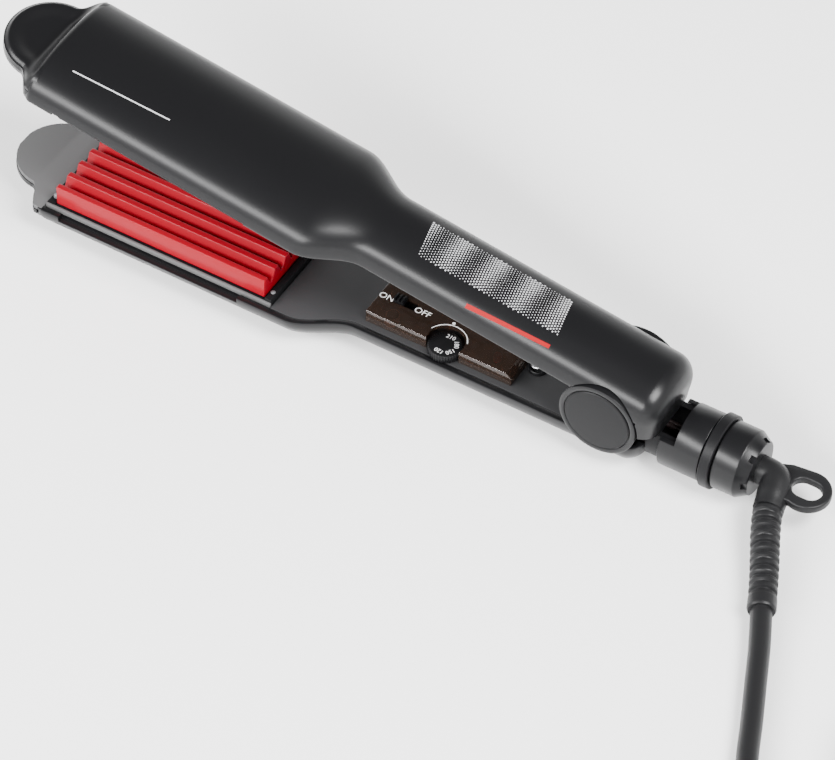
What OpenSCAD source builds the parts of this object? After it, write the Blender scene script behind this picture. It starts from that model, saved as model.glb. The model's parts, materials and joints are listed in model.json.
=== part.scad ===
// Hair crimper: two sprung arms with ridged plates, a swivel cord inlet and its mains cord.
// Arms are laid out from the hinge axis: X runs to the cord end, Y across, Z up.
// The part's origin is the centre of its footprint on the surface that it rests on.

/* [Arms] */
// Length of the lower arm from the hinge axis to the end of its head
arm_len = 220; // [215:1:225]
// How far the finger tab stands past the head
tab_len = 22; // [18:1:26]
// Width of the finger tab at its root
tab_w = 36; // [30:1:40]
// Width of the head
head_w = 52.4; // [50:0.2:56]
// Depth of each head shell
head_h = 13.1; // [12.5:0.1:14]
// Width of the handle
handle_w = 32.8; // [32:0.2:34]
// Depth of each handle shell
handle_h = 11.6; // [11:0.1:13]
// Height of each shell's edge above or below the hinge axis
seam_z = 8.3; // [8:0.1:9]
// Wall thickness of the shells
wall = 2.2; // [1.8:0.1:2.6]
// Angle between the arms when they are open
open_angle = 8.75; // [6:0.25:12]

/* [Crimp plates] */
// Length of a crimp plate
plate_l = 85; // [80:1:86]
// Number of ridges on the lower plate
ridges = 7; // [5:1:7]
// Distance from ridge to ridge
ridge_pitch = 6.9; // [6.5:0.1:7]
// Height of a ridge
ridge_h = 4.2; // [3.8:0.1:4.4]
// Width of a ridge's flat top
ridge_top = 2.2; // [1.8:0.1:2.4]
// Width of the flat floor between ridges
ridge_floor = 1.0; // [0.8:0.1:1.2]
// Depth to which closed plates mesh
mesh_depth = 2.1; // [1.6:0.1:2.1]

/* [Hinge] */
// Radius of the hinge pin
pin_r = 2.5; // [2:0.1:3]
// Radius of the round cheeks that hold the pin
cheek_r = 14.4; // [14:0.1:14.6]
// Radius of the cover discs
cap_r = 12.3; // [11.5:0.1:12.5]

/* [Controls] */
// Length of the smoked window over the controls
window_l = 57; // [56:0.5:57]
// Width of the window
window_w = 23.4; // [22:0.2:24]
// Height of the window above its cover
window_h = 5.3; // [5:0.1:5.6]
// Radius of the temperature dial
dial_r = 6.2; // [6:0.1:6.3]
// Travel of the on and off switch
switch_travel = 4; // [3:0.5:4]

/* [Swivel] */
// Radius of the lock sleeve
sleeve_r = 12.2; // [12:0.1:12.4]
// Travel of the lock sleeve towards the arms
sleeve_travel = 4.5; // [3:0.5:4.5]
// Radius of the fixed flange ring
flange_r = 13.3; // [13:0.1:13.3]
// Radius of the swivelling cord stem
stem_r = 5.1; // [4.8:0.1:5.2]

/* [Cord] */
// Diameter of the mains cord
cord_d = 7.3; // [7:0.1:7.6]
// Radius of the stored coil at the middle of its turns
coil_r = 40; // [38:1:42]
// Turns side by side, and layers, in the stored coil
coil_columns = 3; // [2:1:3]
coil_layers = 4; // [3:1:4]

/* [Hidden] */
$fn = 64;
axis_z = -8.1;                       // swivel axis below the hinge axis
collar_end = 53.3;                   // rear end of the swivel collar
tip_x = -(arm_len + tab_len);
rest_z = flange_r - axis_z;          // hinge axis above the surface
frame_x = -(tip_x + collar_end) / 2; // hinge axis from the middle of the footprint
shell_end = 15.2;
tail_end = 20;
upper_extra = 3;                     // the upper head reaches this much further
neck_start = -116;
neck_end = -94;
crown_n = 2.3;
arc_n = 18;
rim = 0.3;                           // gap round inner parts
plate_x0 = -211.4;
plate_x1 = plate_x0 + plate_l;
plate_top = mesh_depth / 2;
plate_floor = plate_top - ridge_h;
skirt_z = plate_top - 8;
plate_w = (ridges - 1) * ridge_pitch + ridge_top;
slope_w = (ridge_pitch - ridge_top - ridge_floor) / 2;
skin = 2;                            // metal under the ridges
heater_h = 2.6;
heater_top = plate_floor - skin;
carrier_x0 = plate_x0 - 3.6;
carrier_x1 = plate_x1 + 3.2;
carrier_w = plate_w + 2.8;
carrier_top = seam_z - 0.9;
carrier_t = 1.4;
flange_t = 2;
rail_in = plate_w / 2 + 0.5;             // inner face of the upper carrier's side rails
rail_z = -5;
lower_lip = 1.8;                        // how far each shell's edge is cut back beside the plate
upper_lip = 0.8;
pin_stud_r = 1.1;
lap_w = 40;
tab_t = 2.7;
screw_xs = [-119.6, -24];
screw_r = 1.3;
post_r = 3.5;
screw_head_r = 2.5;
screw_head_l = 1.4;
well_depth = 3;
blind_floor = 0.5;                      // cover left under the lower screws' ends
brush_x0 = 28;
carrier_floor = seam_z + 5;
cover_t = 1.5;
cheek_y0 = 13.8;
cheek_y1 = 16.6;
cap_seat = 0.8;
ear_y0 = 9.9;
ear_y1 = 12.9;
ear_r = 7.4;
bush_r = 4;
window_x0 = -92.2;
window_t = 1.3;
dial_at = [-62, -9.5];
pot_r = 3;
knob_at = [-84.6, -1.4];
led_at = [-45.3, -3];
spring_at = [-31.2, 0, -seam_z];
core_r = 10.4;
core_bore = 8.4;
core_end = 46;
notch_z = -2.7;
notch_end = 26.3;
sleeve_x0 = 20.7;
flange_x0 = 36.3;
flange_x1 = 40.3;
elbow_at = [60.3, 0, axis_z];
outlet_lean = 12;                    // outlet leans this far back from square
outlet_dip = 12;                     // outlet dips this far below level
outlet_l = 13;
loop_at = [10.8, -0.8];
loop_r = 8.5;
slot_r = 4.1;
cord_r = cord_d / 2;
relief_route = [[157.4, -12.45, 10.65], [158.2, -16.25, 9.85], [160.2, -22, 8.6], [163.6, -29, 7.4],
    [167.4, -36, 6.5], [171.3, -43, 5.9], [174, -48, 5.6]];
lead_route = [[174.15, -48.3, 5.55], [180.2, -61, 4.7], [186.2, -75, 4.2], [192.2, -89, 3.9], [198, -103, 3.9],
    [204.5, -115, 3.9], [214.5, -124.5, 3.9], [228, -130, 3.9], [243, -132.3, 4.1], [260, -132.8, 4.5],
    [272, -132.8, 4.8], [282.5, -132.8, 5.1]];
coil_at = [284, -78];
tie_t = 1;
coil_z = 1.4;
tail_route = [[338.8, -77, 5.1], [338.9, -73, 5.5], [339.1, -69, 6.4], [339.2, -65, 7], [339.2, -43.4, 7.05]];
plug_at = [339.2, -43, 7.05];
plug_l = 36;
pin_pitch = 18.6;
pin_l = 18;

// ---- outlines and lofts ----

function smooth(t) = let (u = max(0, min(1, t))) u * u * (3 - 2 * u);
function mix(a, b, t) = a + (b - a) * t;
function end_round(d, r) = d >= r ? 0 : r - sqrt(r * r - pow(r - max(d, 0), 2));
function neck(x) = smooth((x - neck_start) / (neck_end - neck_start));
function half_w(x) = mix(head_w, handle_w, neck(x)) / 2;
function crown_h(x) = mix(head_h, handle_h, neck(x));
function spow(v, p) = sign(v) * pow(abs(v), p);

// Points of one cross-section: over the crown from edge to edge, with a straight drop below the edge
function section(x, a, h, drop) = concat(drop > 0 ? [[x, -a, -drop]] : [],
    [for (i = [0:arc_n]) let (t = 180 * i / arc_n)
        [x, -a * spow(cos(t), 2 / crown_n), h * pow(sin(t), 2 / crown_n)]],
    drop > 0 ? [[x, a, -drop]] : []);

// Stations along an arm: close together in the round ends and the neck
function stations(x0, x1, r0, r1) = concat([for (i = [0:4]) x0 + r0 * (1 - cos(22.5 * i))],
    [for (i = [1:2]) mix(x0 + r0, neck_start, i / 2)],
    [for (i = [1:10]) mix(neck_start, neck_end, i / 10)],
    [for (i = [1:2]) mix(neck_end, x1 - r1, i / 2)],
    [for (i = [1:4]) x1 - r1 + r1 * sin(22.5 * i)]);

function arm_ring(x, x0, x1, r0, r1, inset, drop) =
    let (e = end_round(x - x0, r0) + end_round(x1 - x, r1))
    section(x, half_w(x) - inset - e, crown_h(x) - inset - e, drop);

module loft(rings) {
    n = len(rings[0]);
    last = (len(rings) - 1) * n;
    sides = [for (i = [0:len(rings) - 2]) for (j = [0:n - 1])
        let (k = (j + 1) % n, a = i * n)
        each [[a + j, a + k, a + n + k], [a + j, a + n + k, a + n + j]]];
    polyhedron(points = [for (r = rings) each r],
        faces = concat([[for (j = [n - 1:-1:0]) j]], sides, [[for (j = [0:n - 1]) last + j]]));
}

module arm_solid(x0, x1, r0, r1, inset, drop)
    loft([for (x = stations(x0, x1, r0, r1)) arm_ring(x, x0, x1, r0, r1, inset, drop)]);

// Flat outline of an arm's inside, from x0 to x1
module inner_outline(x0, x1, inset) {
    xs = [for (i = [0:24]) mix(x0, x1, i / 24)];
    polygon(concat([for (x = xs) [x, half_w(x) - inset]],
        [for (i = [24:-1:0]) [xs[i], -(half_w(xs[i]) - inset)]]));
}

// Outline of a finger tab that grows out of a head ending at x0
module tab_outline(x0, len, w, overlap)
    polygon(concat([for (i = [0:24]) let (t = 90 + 180 * i / 24)
        [x0 + len * cos(t), w / 2 * sin(t)]], [[x0 + overlap, -w / 2], [x0 + overlap, w / 2]]));

module in_frame() translate([frame_x, 0, rest_z]) children();
module upper_pose() in_frame() rotate([0, open_angle, 0]) children();
module upside_down() mirror([0, 0, 1]) children();
module across_y(y0, y1) translate([0, y1, 0]) rotate([90, 0, 0]) linear_extrude(y1 - y0) children();
module along_x(x0, x1) translate([x0, 0, axis_z]) rotate([90, 0, 90]) linear_extrude(x1 - x0) children();
module slab(x0, x1, y0, y1, z0, z1) translate([x0, y0, z0]) cube([x1 - x0, y1 - y0, z1 - z0]);
module both_sides() {
    children();
    mirror([0, 1, 0]) children();
}

// ---- pieces that both arms have, with +Z towards the outside of the arm ----

module shell_half(x0, x1, r1, lip) {
    difference() {
        union() {
            translate([0, 0, seam_z]) arm_solid(x0, x1, 6, r1, 0, 0);
            translate([0, 0, seam_z + cover_t]) linear_extrude(tab_t)
                tab_outline(x0, x0 - tip_of(x0), tab_w, 1);
        }
        translate([0, 0, seam_z]) arm_solid(x0 + wall, x1 - wall, 5, r1 - 1, wall, 1);
        slab(x0 - 0.1, x0 + wall + 1, -lap_w / 2 - rim, lap_w / 2 + rim, 0, seam_z + cover_t);
        both_sides() slab(carrier_x0 + 9, carrier_x1 - 9, -head_w, -carrier_w / 2, 0, seam_z + lip);
    }
    for (x = screw_xs) translate([x, 0, seam_z + cover_t])
        cylinder(r = post_r, h = crown_h(x) - wall - cover_t + 0.5);
}

function tip_of(x0) = x0 < -arm_len ? tip_x - 4 : tip_x;

module tip_cover(x0) translate([0, 0, seam_z]) linear_extrude(cover_t) {
    tab_outline(x0, x0 - tip_of(x0), tab_w, 1);
    translate([x0 - 1, -lap_w / 2]) square([carrier_x0 - rim - x0 + 1, lap_w]);
}

module handle_cover(x1) translate([0, 0, seam_z]) linear_extrude(cover_t)
    inner_outline(carrier_x1 + rim, x1, wall + rim);

// Ridge profile across a plate: the first ridge's outer face at -plate_w / 2
function ridge_points(n, y0) = [for (i = [0:n - 1]) let (y = y0 + i * ridge_pitch)
    each [[y, plate_top], [y + ridge_top, plate_top],
        if (i < n - 1) [y + ridge_top + slope_w, plate_floor],
        if (i < n - 1) [y + ridge_pitch - slope_w, plate_floor]]];

module crimp_plate(profile) translate([plate_x0, 0, 0]) rotate([90, 0, 90]) linear_extrude(plate_l)
    difference() {
        polygon(profile);
        translate([-plate_w / 2 + 1.6, skirt_z - 1]) square([plate_w - 3.2, heater_top - skirt_z + 1]);
    }

lower_profile = concat(ridge_points(ridges, -plate_w / 2), [[plate_w / 2, skirt_z], [-plate_w / 2, skirt_z]]);
upper_y0 = -plate_w / 2 + ridge_pitch / 2;
upper_profile = concat([[-plate_w / 2, plate_floor], [upper_y0 - slope_w, plate_floor]],
    ridge_points(ridges - 1, upper_y0),
    [[slope_w - upper_y0, plate_floor], [plate_w / 2, plate_floor]],
    [[plate_w / 2, skirt_z], [-plate_w / 2, skirt_z]]);

module plate_heater() slab(plate_x0 + 8, plate_x1 - 8, -plate_w / 2 + 8, plate_w / 2 - 8,
    heater_top - heater_h, heater_top);

// Bowed clip between the heater and the carrier's floor
module heater_clip() {
    slab(plate_x0 + 12, plate_x1 - 12, -6, 6, heater_top - heater_h - 0.8, heater_top - heater_h);
    for (x = [plate_x0 + 12, plate_x1 - 13]) slab(x, x + 1, -6, 6, -carrier_floor + carrier_t,
        heater_top - heater_h - 0.8);
}

module plate_carrier() difference() {
    union() {
        slab(carrier_x0, carrier_x1, -carrier_w / 2, carrier_w / 2, -carrier_top - flange_t, -carrier_top);
        slab(plate_x0 - 1.1, carrier_x1, -plate_w / 2 + 0.5, plate_w / 2 - 0.5, -carrier_floor, -carrier_top);
        slab(plate_x0 + 0.4, plate_x1 - 0.4, -plate_w / 2 + 0.5, plate_w / 2 - 0.5, -carrier_floor, skirt_z);
    }
    slab(plate_x0 + carrier_t, plate_x1 - carrier_t, -plate_w / 2 + carrier_t, plate_w / 2 - carrier_t,
        -carrier_floor + carrier_t, 0);
    at_pins() cylinder(r = pin_stud_r, h = 9);
}

module at_pins() for (x = [plate_x0 - 1.9, plate_x1 + 1.7]) both_sides()
    translate([x, -plate_w / 2 + 3, -seam_z - 0.7]) children();

module plate_pins() at_pins() cylinder(r = pin_stud_r, h = 3.4);

module cover_screws() for (x = screw_xs) translate([x, 0, seam_z - 1.1]) {
    cylinder(r = screw_head_r, h = 1.1);
    translate([0, 0, 1.1]) cylinder(r = screw_r, h = 5.9);
}

module screw_holes() for (x = screw_xs) translate([x, 0, seam_z - 2]) cylinder(r = screw_r, h = 8);

// Screws that go in from the outside of the arm, with heads head_l long at the bottom of their wells
function well_z(x) = seam_z + crown_h(x) - well_depth;
module outer_screws(head_l) for (x = screw_xs) translate([x, 0, 0]) {
    translate([0, 0, seam_z + blind_floor]) cylinder(r = screw_r, h = well_z(x) - seam_z - blind_floor);
    translate([0, 0, well_z(x)]) cylinder(r = screw_head_r, h = head_l);
}

module lead_wires(x1) for (y = [-6.2, -4.5, 4.5, 6.2]) translate([carrier_x1, y, seam_z + 4.1])
    rotate([0, 90, 0]) cylinder(r = 0.8, h = x1 - carrier_x1, $fn = 16);

// ---- lower arm ----

module lower_shell() color("#202224") in_frame() difference() {
    union() {
        upside_down() shell_half(-arm_len, shell_end, 6, lower_lip);
        both_sides() across_y(cheek_y0, cheek_y1) circle(cheek_r);
    }
    both_sides() across_y(cheek_y1 - cap_seat, cheek_y1 + 1) circle(cap_r);
    across_y(-20, 20) circle(pin_r);
    along_x(4, 20) circle(core_r);
    upside_down() outer_screws(well_depth + 1);
}

module lower_tip_cover() color("#4a4b4c") in_frame() upside_down() tip_cover(-arm_len);

module lower_handle_cover() color("#48494a") in_frame() difference() {
    upside_down() handle_cover(9);
    slab(-92, -35.4, -9.9, 9.9, -20, 0);
    translate([dial_at[0], dial_at[1], -20]) cylinder(r = pot_r + rim, h = 20);
    upside_down() outer_screws(screw_head_l);
    both_sides() across_y(cheek_y0 - 0.1, 20) circle(cheek_r + 0.1);
}

module lower_plate_carrier() color("#151617") in_frame() plate_carrier();
module lower_crimp_plate() color("#c8202a") in_frame() crimp_plate(lower_profile);
module lower_heater_clip() color("#8f9193") in_frame() heater_clip();
module lower_heater() color("#b8b8b4") in_frame() plate_heater();
module lower_plate_pins() color("#a9abad") in_frame() plate_pins();
module lower_screws() color("#8d8f91") in_frame() upside_down() outer_screws(screw_head_l);
module lower_lead_wires() color("#8a2020") in_frame() upside_down() lead_wires(brush_x0);

module thermal_fuse() color("#c9c4b8") in_frame() translate([-175, 8.6, heater_top - heater_h - 1.5])
    rotate([0, 90, 0]) {
        cylinder(r = 1.5, h = 11);
        translate([0, 0, -4]) cylinder(r = 0.45, h = 19);
    }

board_z = -seam_z - 3;
board_top = board_z + 1.6;
module circuit_board() color("#1f5a35") in_frame() {
    slab(-91, -36.4, -9.6, 9.6, board_z, board_top);
    translate([dial_at[0], dial_at[1], board_z]) cylinder(r = pot_r, h = board_top - board_z);
    for (p = [[-70, 5], [-52, 4], [-40, -6]]) translate([p[0], p[1], board_top]) cylinder(r = 2.2, h = 3.8);
    slab(-53, -46.8, -7.5, -3, board_top, board_top + 1.4);
}

module coil_inductor() color("#a8714a") in_frame() translate([-84, -7, board_top]) difference() {
    cylinder(r = 2.4, h = 4.8);
    translate([0, 0, 1]) cylinder(r = 1, h = 5);
}

module switch_body() color("#101112") in_frame()
    slab(-90, -76, -4.2, 1.4, board_top, -5.4);

module dial_potentiometer() color("#2c3138") in_frame() translate([dial_at[0], dial_at[1], board_top]) {
    cylinder(r = pot_r, h = 1.4);
    cylinder(r = 1.45, h = 4.6);
}

module power_led() color("#b01818") in_frame() translate([led_at[0], led_at[1], board_top]) {
    cylinder(r = 1.5, h = 2.6);
    translate([0, 0, 2.6]) sphere(r = 1.5);
}

module control_window() color("#3a302a") in_frame() difference() {
    slab(window_x0, window_x0 + window_l, -window_w / 2, window_w / 2, -seam_z, -seam_z + window_h);
    slab(window_x0 + window_t, window_x0 + window_l - window_t, -window_w / 2 + window_t,
        window_w / 2 - window_t, -seam_z - 1, -seam_z + window_h - window_t);
    translate([dial_at[0], dial_at[1], -seam_z - 1]) cylinder(r = dial_r + 0.5, h = 9);
    slab(knob_at[0] - 2.4, knob_at[0] + 2.4 + switch_travel, knob_at[1] - 1.9, knob_at[1] + 1.9, -6, 0);
    translate([window_x0 + window_l, 0, -seam_z + window_h]) rotate([0, 45, 0])
        cube([2.4, 40, 2.4], center = true);
}

module hinge_pin() color("#9a9c9e") in_frame() across_y(-cheek_y1 + 0.9, cheek_y1 - 0.9) circle(pin_r);

module hinge_cap() across_y(cheek_y1 - cap_seat, cheek_y1 + 0.35) circle(cap_r);
module near_hinge_cap() color("#2a2c2e") in_frame() mirror([0, 1, 0]) hinge_cap();
module far_hinge_cap() color("#2a2c2e") in_frame() hinge_cap();

module spring_seat() color("#1c1d1f") in_frame() translate(spring_at) difference() {
    cylinder(r = 3.3, h = 1.5);
    translate([0, 0, 0.6]) cylinder(r = 2.8, h = 2);
}

spring_h = 19.2;
spring_turns = 7;
spring_r = 2.2;
wire_r = 0.4;
// Helix of the opening spring, as points on its wire's centreline
function helix(r, h, turns, steps) = [for (i = [0:turns * steps])
    [r * cos(360 * i / steps), r * sin(360 * i / steps), h * i / (turns * steps)]];

function unit(v) = v / norm(v);
function tangent(p, i) = unit(p[min(i + 1, len(p) - 1)] - p[max(i - 1, 0)]);
function tube_ring(c, t, r, n) = let (s = unit(cross(t, [0, 0, 1])), u = cross(s, t))
    [for (k = [0:n - 1]) c + r * cos(360 * k / n) * s - r * sin(360 * k / n) * u];

// A round tube along a route; radii holds one radius for each point
module tube(route, radii, n)
    loft([for (i = [0:len(route) - 1]) tube_ring(route[i], tangent(route, i), radii[i], n)]);

module opening_spring() color("#b5b7b9") in_frame() translate(spring_at) translate([0, 0, 0.6 + wire_r])
    let (route = helix(spring_r, spring_h, spring_turns, 10)) tube(route, [for (p = route) wire_r], 6);

module swivel_core() color("#141516") in_frame() difference() {
    union() {
        along_x(4, core_end) circle(core_r);
        along_x(flange_x0, flange_x1) circle(flange_r);
    }
    along_x(3, core_end + 1) circle(core_bore);
    slab(3, 15.5, -20, 20, -seam_z - cover_t - 0.2, 20);
    slab(15, notch_end + 0.3, -20, 20, notch_z - 0.5, 20);
}

module swivel_collar() color("#1a1b1d") in_frame() difference() {
    union() {
        along_x(flange_x1, collar_end - 4) circle(12.1);
        translate([collar_end - 4, 0, axis_z]) rotate([0, 90, 0]) cylinder(r1 = 12.1, r2 = 9.4, h = 4);
    }
    along_x(flange_x1 - 1, core_end + 4.6) circle(core_r);
    along_x(40, collar_end + 1) circle(stem_r + 0.08);
    for (a = [30:60:330]) translate([collar_end, 0, axis_z]) rotate([a, 0, 0])
        translate([0, 0, 10.2]) cube([3.6, 2.6, 2.4], center = true);
}

module brush_block() color("#5a4a32") in_frame() difference() {
    along_x(brush_x0, 35) circle(core_bore);
    along_x(brush_x0 - 1, 36) circle(6.4);
}

// ---- sleeve, switch and dial ----

module lock_sleeve() color("#222426") in_frame() difference() {
    along_x(sleeve_x0, flange_x0 - 0.3) circle(sleeve_r);
    along_x(sleeve_x0 - 1, flange_x0) circle(core_r + 0.08);
    slab(sleeve_x0 - 1, notch_end, -20, 20, notch_z, 20);
}

module switch_knob() color("#17181a") in_frame() {
    slab(knob_at[0] - 2.1, knob_at[0] + 2.1, knob_at[1] - 1.6, knob_at[1] + 1.6, -5.1, -2.4);
    for (dx = [-1.5, 0, 1.5]) slab(knob_at[0] + dx - 0.4, knob_at[0] + dx + 0.4, knob_at[1] - 1.6,
        knob_at[1] + 1.6, -2.4, -1.5);
}

dial_teeth = 36;
module temperature_dial() color("#17181a") in_frame() translate([dial_at[0], dial_at[1], -seam_z + 0.4])
    linear_extrude(3.1) difference() {
        polygon([for (i = [0:dial_teeth * 2 - 1])
            let (r = i % 2 == 0 ? dial_r : dial_r - 0.4, t = 180 * i / dial_teeth)
            [r * cos(t), r * sin(t)]]);
        circle(r = 1.5);
    }

// ---- upper arm ----

module upper_shell() color("#202224") upper_pose() difference() {
    union() {
        shell_half(-arm_len - upper_extra, tail_end, 8, upper_lip);
        difference() {
            translate([0, 0, 1]) linear_extrude(seam_z - 0.8) tail_outline(0.1);
            translate([0, 0, -1]) linear_extrude(seam_z + 2) tail_outline(wall);
        }
    }
    both_sides() across_y(cheek_y0 - 0.5, 20) circle(cheek_r + 0.5);
    screw_holes();
}

module tail_outline(inset) {
    w = handle_w / 2 - inset;
    r = 8 - inset;
    intersection() {
        translate([9, -w]) square([tail_end - inset - 9, 2 * w]);
        union() {
            translate([0, -w]) square([tail_end - inset - r, 2 * w]);
            translate([0, -w + r]) square([tail_end - inset, 2 * (w - r)]);
            both_sides() translate([tail_end - inset - r, w - r]) circle(r);
        }
    }
}

module upper_tip_cover() color("#4a4b4c") upper_pose() tip_cover(-arm_len - upper_extra);

module upper_handle_cover() color("#48494a") upper_pose() difference() {
    union() {
        handle_cover(9);
        both_sides() across_y(ear_y0, ear_y1) {
            circle(ear_r);
            translate([-ear_r, 0]) square([2 * ear_r, seam_z + 0.5]);
        }
    }
    across_y(-20, 20) circle(bush_r);
    screw_holes();
    both_sides() across_y(cheek_y0 - 0.5, 20) circle(cheek_r + 0.5);
}

module upper_plate_carrier() color("#151617") upper_pose() upside_down() {
    plate_carrier();
    both_sides() slab(plate_x0, plate_x1, rail_in, carrier_w / 2, -carrier_top, rail_z);
}
module upper_crimp_plate() color("#c8202a") upper_pose() upside_down() crimp_plate(upper_profile);
module upper_heater_clip() color("#8f9193") upper_pose() upside_down() heater_clip();
module upper_heater() color("#b8b8b4") upper_pose() upside_down() plate_heater();
module upper_plate_pins() color("#a9abad") upper_pose() upside_down() plate_pins();
module upper_screws() color("#8d8f91") upper_pose() cover_screws();
module upper_lead_wires() color("#8a2020") upper_pose() lead_wires(-9);

module temperature_sensor() color("#d8d2b0") upper_pose() translate([-165, 8.6, heater_h - heater_top + 1.2]) {
    rotate([0, 90, 0]) cylinder(r = 1.2, h = 4);
    rotate([0, 90, 0]) cylinder(r = 0.6, h = 16);
}

module hinge_bushes() color("#b08d4a") upper_pose() both_sides() difference() {
    union() {
        across_y(ear_y0, ear_y1) circle(bush_r);
        across_y(ear_y1, ear_y1 + 0.5) circle(5.4);
    }
    across_y(ear_y0 - 1, ear_y1 + 2) circle(pin_r + 0.05);
}

// ---- swivel and cord ----

module swivel_spindle() color("#1a1b1d") in_frame() {
    along_x(26.5, 46.4) circle(3);
    along_x(46.4, 48.6) circle(8);
    along_x(48.6, collar_end) circle(stem_r);
}

module slip_rings() color("#c09a4a") in_frame() for (x = [28.5, 32]) difference() {
    along_x(x, x + 2.2) circle(5.9);
    along_x(x - 1, x + 4) circle(3);
}

module outlet_pose() translate(elbow_at) rotate([outlet_dip, 0, 0]) rotate([0, 0, outlet_lean])
    rotate([90, 0, 0]) children();

// Flat hanging loop beside the elbow, with its slot
module loop_outline() difference() {
    union() {
        translate(loop_at) circle(loop_r);
        translate([0, loop_at[1] - 6]) square([loop_at[0], 12]);
    }
    for (dx = [-1.2, 1.2]) translate([loop_at[0] + dx, loop_at[1]]) circle(slot_r);
    translate([loop_at[0] - 1.2, loop_at[1] - slot_r]) square([2.4, 2 * slot_r]);
}

module cord_elbow() color("#191a1c") in_frame() {
    along_x(collar_end, elbow_at[0]) circle(stem_r);
    translate(elbow_at) sphere(r = 5.9);
    outlet_pose() cylinder(r = 5.3, h = outlet_l);
    translate(elbow_at) linear_extrude(3.2, center = true) loop_outline();
}

relief_n = len(relief_route);
module strain_relief() color("#191a1c")
    tube(relief_route, [for (i = [0:relief_n - 1]) mix(5.3, 4.9, i / (relief_n - 1))], 16);

module cord_lead() color("#1c1c1e") tube(lead_route, [for (p = lead_route) cord_r], 10);

coil_w = coil_columns * cord_d;
coil_h = (coil_layers - 1) * cord_d * 0.95 + cord_d;
module cord_coil() color("#1c1c1e") translate([coil_at[0], coil_at[1], coil_z]) rotate_extrude()
    translate([coil_r - coil_w / 2, 0]) polygon([[2, 0], [coil_w - 2, 0], [coil_w, 2], [coil_w, coil_h - 2],
        [coil_w - 2, coil_h], [2, coil_h], [0, coil_h - 2], [0, 2]]);

module cord_tie() color("#2a2a2c") translate([coil_at[0] - coil_r, coil_at[1], 0]) difference() {
    slab(-coil_w / 2 - 0.6 - tie_t, coil_w / 2 + 0.6 + tie_t, -4, 4, 0.2, coil_z + coil_h + 0.2 + tie_t);
    slab(-coil_w / 2 - 0.6, coil_w / 2 + 0.6, -5, 5, 0.2 + tie_t, coil_z + coil_h + 0.2);
}

module cord_tail() color("#1c1c1e") tube(tail_route, [for (p = tail_route) cord_r], 10);

module plug_pose() translate(plug_at) rotate([-90, 0, 0]) rotate([0, 0, 90]) children();
module at_plug_pins() for (y = [-pin_pitch / 2, pin_pitch / 2]) translate([0, y, 0]) children();

module plug_body() color("#1d1d1f") plug_pose() difference() {
    union() {
        at_plug_pins() cylinder(r = 6.85, h = plug_l);
        translate([-6.85, -pin_pitch / 2, 0]) cube([13.7, pin_pitch, plug_l]);
    }
    at_plug_pins() translate([0, 0, plug_l - 6]) cylinder(r = 1.5, h = 7);
}

module plug_pins() color("#c0c2c4") plug_pose() at_plug_pins() {
    translate([0, 0, plug_l - 6]) cylinder(r = 1.5, h = 6);
    translate([0, 0, plug_l]) cylinder(r = 2, h = pin_l);
    translate([0, 0, plug_l + pin_l]) cylinder(r1 = 2, r2 = 1, h = 1.4);
}

lower_shell();
lower_tip_cover();
lower_handle_cover();
lower_plate_carrier();
lower_crimp_plate();
lower_heater();
lower_heater_clip();
lower_plate_pins();
thermal_fuse();
lower_screws();
lower_lead_wires();
circuit_board();
coil_inductor();
switch_body();
dial_potentiometer();
power_led();
control_window();
hinge_pin();
near_hinge_cap();
far_hinge_cap();
spring_seat();
opening_spring();
swivel_core();
swivel_collar();
brush_block();
lock_sleeve();
switch_knob();
temperature_dial();
upper_shell();
upper_tip_cover();
upper_handle_cover();
upper_plate_carrier();
upper_crimp_plate();
upper_heater();
upper_heater_clip();
temperature_sensor();
upper_plate_pins();
upper_screws();
upper_lead_wires();
hinge_bushes();
swivel_spindle();
slip_rings();
cord_elbow();
strain_relief();
cord_lead();
cord_coil();
cord_tie();
cord_tail();
plug_body();
plug_pins();
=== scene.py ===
import json
import math

import bmesh
import bpy
import numpy as np
from mathutils import Matrix, Vector

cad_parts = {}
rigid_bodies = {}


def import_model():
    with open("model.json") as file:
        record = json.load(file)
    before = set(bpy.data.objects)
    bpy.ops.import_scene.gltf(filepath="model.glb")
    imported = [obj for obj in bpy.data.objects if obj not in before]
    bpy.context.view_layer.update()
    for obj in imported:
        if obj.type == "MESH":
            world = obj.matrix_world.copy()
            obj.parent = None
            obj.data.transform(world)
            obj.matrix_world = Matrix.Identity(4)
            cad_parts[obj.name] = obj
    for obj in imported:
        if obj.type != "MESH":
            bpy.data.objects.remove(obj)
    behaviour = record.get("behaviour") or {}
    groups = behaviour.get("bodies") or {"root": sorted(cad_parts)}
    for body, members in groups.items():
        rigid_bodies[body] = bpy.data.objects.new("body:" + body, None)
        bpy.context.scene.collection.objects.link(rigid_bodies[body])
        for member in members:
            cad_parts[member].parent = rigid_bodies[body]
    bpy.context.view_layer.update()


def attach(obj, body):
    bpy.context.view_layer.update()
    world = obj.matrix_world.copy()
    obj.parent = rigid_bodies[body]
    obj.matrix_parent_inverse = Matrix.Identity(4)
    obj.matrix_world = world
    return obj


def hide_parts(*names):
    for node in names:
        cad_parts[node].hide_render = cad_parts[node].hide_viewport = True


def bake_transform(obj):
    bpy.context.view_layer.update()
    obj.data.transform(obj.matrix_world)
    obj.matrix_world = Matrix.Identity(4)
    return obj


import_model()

# All sizes below are millimetres from the hinge axis: X to the cord end, Y across, Z up.
HINGE = (94.35, 0.0, 21.4)  # the hinge axis in the row frame
OPEN = math.radians(8.75)  # how far the upper arm stands open at rest
SEAM, WALL = 8.3, 2.2  # a shell's edge plane above the arm's middle, and its wall
SQUARENESS = 2.3  # power of the crown's rounded section
AXIS_Z = -8.1  # height of the swivel barrel's axis
DOME = (0.3, 0.6, 0.9, 1.2, 1.4)  # angles of the points on a small round end
mm = 0.001


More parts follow.
